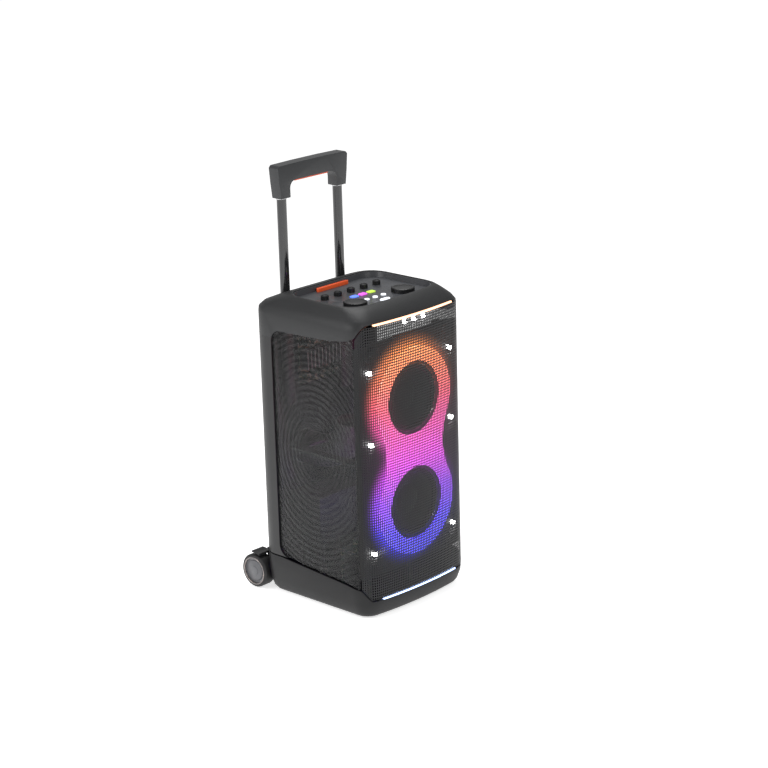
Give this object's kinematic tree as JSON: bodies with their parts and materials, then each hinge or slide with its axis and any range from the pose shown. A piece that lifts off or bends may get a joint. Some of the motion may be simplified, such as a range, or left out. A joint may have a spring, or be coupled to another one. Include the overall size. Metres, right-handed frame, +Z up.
{
  "type": "party speaker",
  "caption": "Tall see-through party speaker with woofers behind a wrap-around grille, figure-of-eight light ring, control tray, pull-out handle and rear wheels.",
  "frame": {"origin": "on the ground under the centre of the whole object, handle pulled out", "axes": "+Z up, the front grille faces -Y, the wheels and the handle are at +Y, +X is to the right as seen from the front"},
  "size_m": [0.333, 0.3818, 0.929],
  "materials": {
    "black_plastic": "fine-grained matt black moulding",
    "shell_plastic": "fine-grained matt dark grey moulding",
    "rear_plastic": "smoked dark moulding",
    "tray_plastic": "satin grey",
    "side_smoke": "smoked clear plastic with pressed ripples",
    "grille_metal": "perforated sheet steel, painted black",
    "baffle_board": "matt",
    "ring_light": "milky light guide that glows from orange through pink to blue",
    "warm_light": "milky light guide",
    "cool_light": "milky light guide",
    "white_light": "lamp cap",
    "basket_metal": "stamped steel, satin dark grey",
    "magnet_metal": "plated steel and ferrite",
    "surround_rubber": "glossy black rubber",
    "cone_paper": "matt pressed cone",
    "tweeter_metal": "black plate with a silver dome",
    "port_plastic": "satin grey tube",
    "board": "circuit board with parts",
    "sink_metal": "anodised",
    "battery_plastic": "matt",
    "jack_metal": "plated",
    "screw_steel": "blackened",
    "axle_steel": "plated",
    "rest_rubber": "soft orange rubber",
    "rod_gloss": "gloss black tube",
    "collar_metal": "thin bright ring",
    "grip_plastic": "satin dark grey",
    "tyre_rubber": "matt black",
    "hub_plastic": "grey with a bright rim",
    "knob_plastic": "satin black",
    "pad_blue": "lit pad",
    "pad_magenta": "lit pad",
    "pad_lime": "lit pad",
    "button_white": "lit white button"
  },
  "bodies": {
    "cabinet": {"base_plinth": "black_plastic", "rubber_feet": "tyre_rubber", "rear_housing": "rear_plastic", "top_shell": "shell_plastic", "control_panel": "tray_plastic", "side_panel_left": "side_smoke", "side_panel_right": "side_smoke", "front_grille": "grille_metal", "front_baffle": "baffle_board", "light_ring": "ring_light", "top_light_strip": "warm_light", "bottom_light_strip": "cool_light", "strobe_lights": "white_light", "upper_woofer_basket": "basket_metal", "upper_woofer_magnet": "magnet_metal", "upper_woofer_surround": "surround_rubber", "lower_woofer_basket": "basket_metal", "lower_woofer_magnet": "magnet_metal", "lower_woofer_surround": "surround_rubber", "left_tweeter": "tweeter_metal", "right_tweeter": "tweeter_metal", "reflex_port": "port_plastic", "amplifier_board": "board", "heat_sink": "sink_metal", "power_supply": "board", "battery_pack": "battery_plastic", "io_panel": "black_plastic", "io_jacks": "jack_metal", "ac_inlet": "black_plastic", "cabinet_brace": "baffle_board", "handle_guides": "baffle_board", "axle_carrier": "black_plastic", "wheel_axle": "axle_steel", "device_rest": "rest_rubber", "rear_screws": "screw_steel"},
    "upper_cone": {"upper_woofer_cone": "cone_paper"},
    "lower_cone": {"lower_woofer_cone": "cone_paper"},
    "handle": {"handle_rods": "rod_gloss", "handle_collars": "collar_metal", "handle_grip": "grip_plastic"},
    "release_bar": {"handle_release_bar": "rest_rubber"},
    "left_wheel": {"left_tyre": "tyre_rubber", "left_hub": "hub_plastic"},
    "right_wheel": {"right_tyre": "tyre_rubber", "right_hub": "hub_plastic"},
    "left_dial": {"left_dial": "knob_plastic"},
    "right_dial": {"right_dial": "knob_plastic"},
    "knob_1": {"knob_1": "knob_plastic"},
    "knob_2": {"knob_2": "knob_plastic"},
    "knob_3": {"knob_3": "knob_plastic"},
    "knob_4": {"knob_4": "knob_plastic"},
    "knob_5": {"knob_5": "knob_plastic"},
    "pad_1": {"pad_1": "pad_blue"},
    "pad_2": {"pad_2": "pad_magenta"},
    "pad_3": {"pad_3": "pad_lime"},
    "button_1": {"button_1": "button_white"},
    "button_2": {"button_2": "button_white"},
    "button_3": {"button_3": "button_white"},
    "power_button": {"power_button": "button_white"},
    "battery_door": {"battery_door": "black_plastic"}
  },
  "joints": [
    {"name": "upper_cone_stroke", "type": "slide", "parent": "cabinet", "child": "upper_cone", "axis": [0, -1, 0], "range_m": [-0.004, 0.004], "stiffness_N_per_m": 1600},
    {"name": "lower_cone_stroke", "type": "slide", "parent": "cabinet", "child": "lower_cone", "axis": [0, -1, 0], "range_m": [-0.004, 0.004], "stiffness_N_per_m": 1600},
    {"name": "handle_slide", "type": "slide", "parent": "cabinet", "child": "handle", "axis": [0, 0, 1], "range_m": [-0.18, 0]},
    {"name": "release_squeeze", "type": "slide", "parent": "handle", "child": "release_bar", "axis": [0, 0, 1], "range_m": [0, 0.004], "stiffness_N_per_m": 900},
    {"name": "left_wheel_spin", "type": "hinge", "parent": "cabinet", "child": "left_wheel", "pos_m": [-0.151, 0.1545, 0.039], "axis": [1, 0, 0], "continuous": true},
    {"name": "right_wheel_spin", "type": "hinge", "parent": "cabinet", "child": "right_wheel", "pos_m": [0.151, 0.1545, 0.039], "axis": [1, 0, 0], "continuous": true},
    {"name": "left_dial_turn", "type": "hinge", "parent": "cabinet", "child": "left_dial", "pos_m": [-0.072, -0.0875, 0.656], "axis": [0, 0, -1], "continuous": true},
    {"name": "right_dial_turn", "type": "hinge", "parent": "cabinet", "child": "right_dial", "pos_m": [0.072, -0.0875, 0.656], "axis": [0, 0, -1], "continuous": true},
    {"name": "knob_1_turn", "type": "hinge", "parent": "cabinet", "child": "knob_1", "pos_m": [-0.078, -0.0055, 0.656], "axis": [0, 0, -1], "range_deg": [-135, 135]},
    {"name": "knob_2_turn", "type": "hinge", "parent": "cabinet", "child": "knob_2", "pos_m": [-0.039, -0.0055, 0.656], "axis": [0, 0, -1], "range_deg": [-135, 135]},
    {"name": "knob_3_turn", "type": "hinge", "parent": "cabinet", "child": "knob_3", "pos_m": [0, -0.0055, 0.656], "axis": [0, 0, -1], "range_deg": [-135, 135]},
    {"name": "knob_4_turn", "type": "hinge", "parent": "cabinet", "child": "knob_4", "pos_m": [0.039, -0.0055, 0.656], "axis": [0, 0, -1], "range_deg": [-135, 135]},
    {"name": "knob_5_turn", "type": "hinge", "parent": "cabinet", "child": "knob_5", "pos_m": [0.078, -0.0055, 0.656], "axis": [0, 0, -1], "range_deg": [-135, 135]},
    {"name": "pad_1_press", "type": "slide", "parent": "cabinet", "child": "pad_1", "axis": [0, 0, -1], "range_m": [0, 0.0015], "stiffness_N_per_m": 700},
    {"name": "pad_2_press", "type": "slide", "parent": "cabinet", "child": "pad_2", "axis": [0, 0, -1], "range_m": [0, 0.0015], "stiffness_N_per_m": 700},
    {"name": "pad_3_press", "type": "slide", "parent": "cabinet", "child": "pad_3", "axis": [0, 0, -1], "range_m": [0, 0.0015], "stiffness_N_per_m": 700},
    {"name": "button_1_press", "type": "slide", "parent": "cabinet", "child": "button_1", "axis": [0, 0, -1], "range_m": [0, 0.0015], "stiffness_N_per_m": 700},
    {"name": "button_2_press", "type": "slide", "parent": "cabinet", "child": "button_2", "axis": [0, 0, -1], "range_m": [0, 0.0015], "stiffness_N_per_m": 700},
    {"name": "button_3_press", "type": "slide", "parent": "cabinet", "child": "button_3", "axis": [0, 0, -1], "range_m": [0, 0.0015], "stiffness_N_per_m": 700},
    {"name": "power_button_press", "type": "slide", "parent": "cabinet", "child": "power_button", "axis": [0, 0, -1], "range_m": [0, 0.0015], "stiffness_N_per_m": 700},
    {"name": "battery_door_hinge", "type": "hinge", "parent": "cabinet", "child": "battery_door", "pos_m": [0, 0.1365, 0.104], "axis": [-1, 0, 0], "range_deg": [0, 100]}
  ]
}
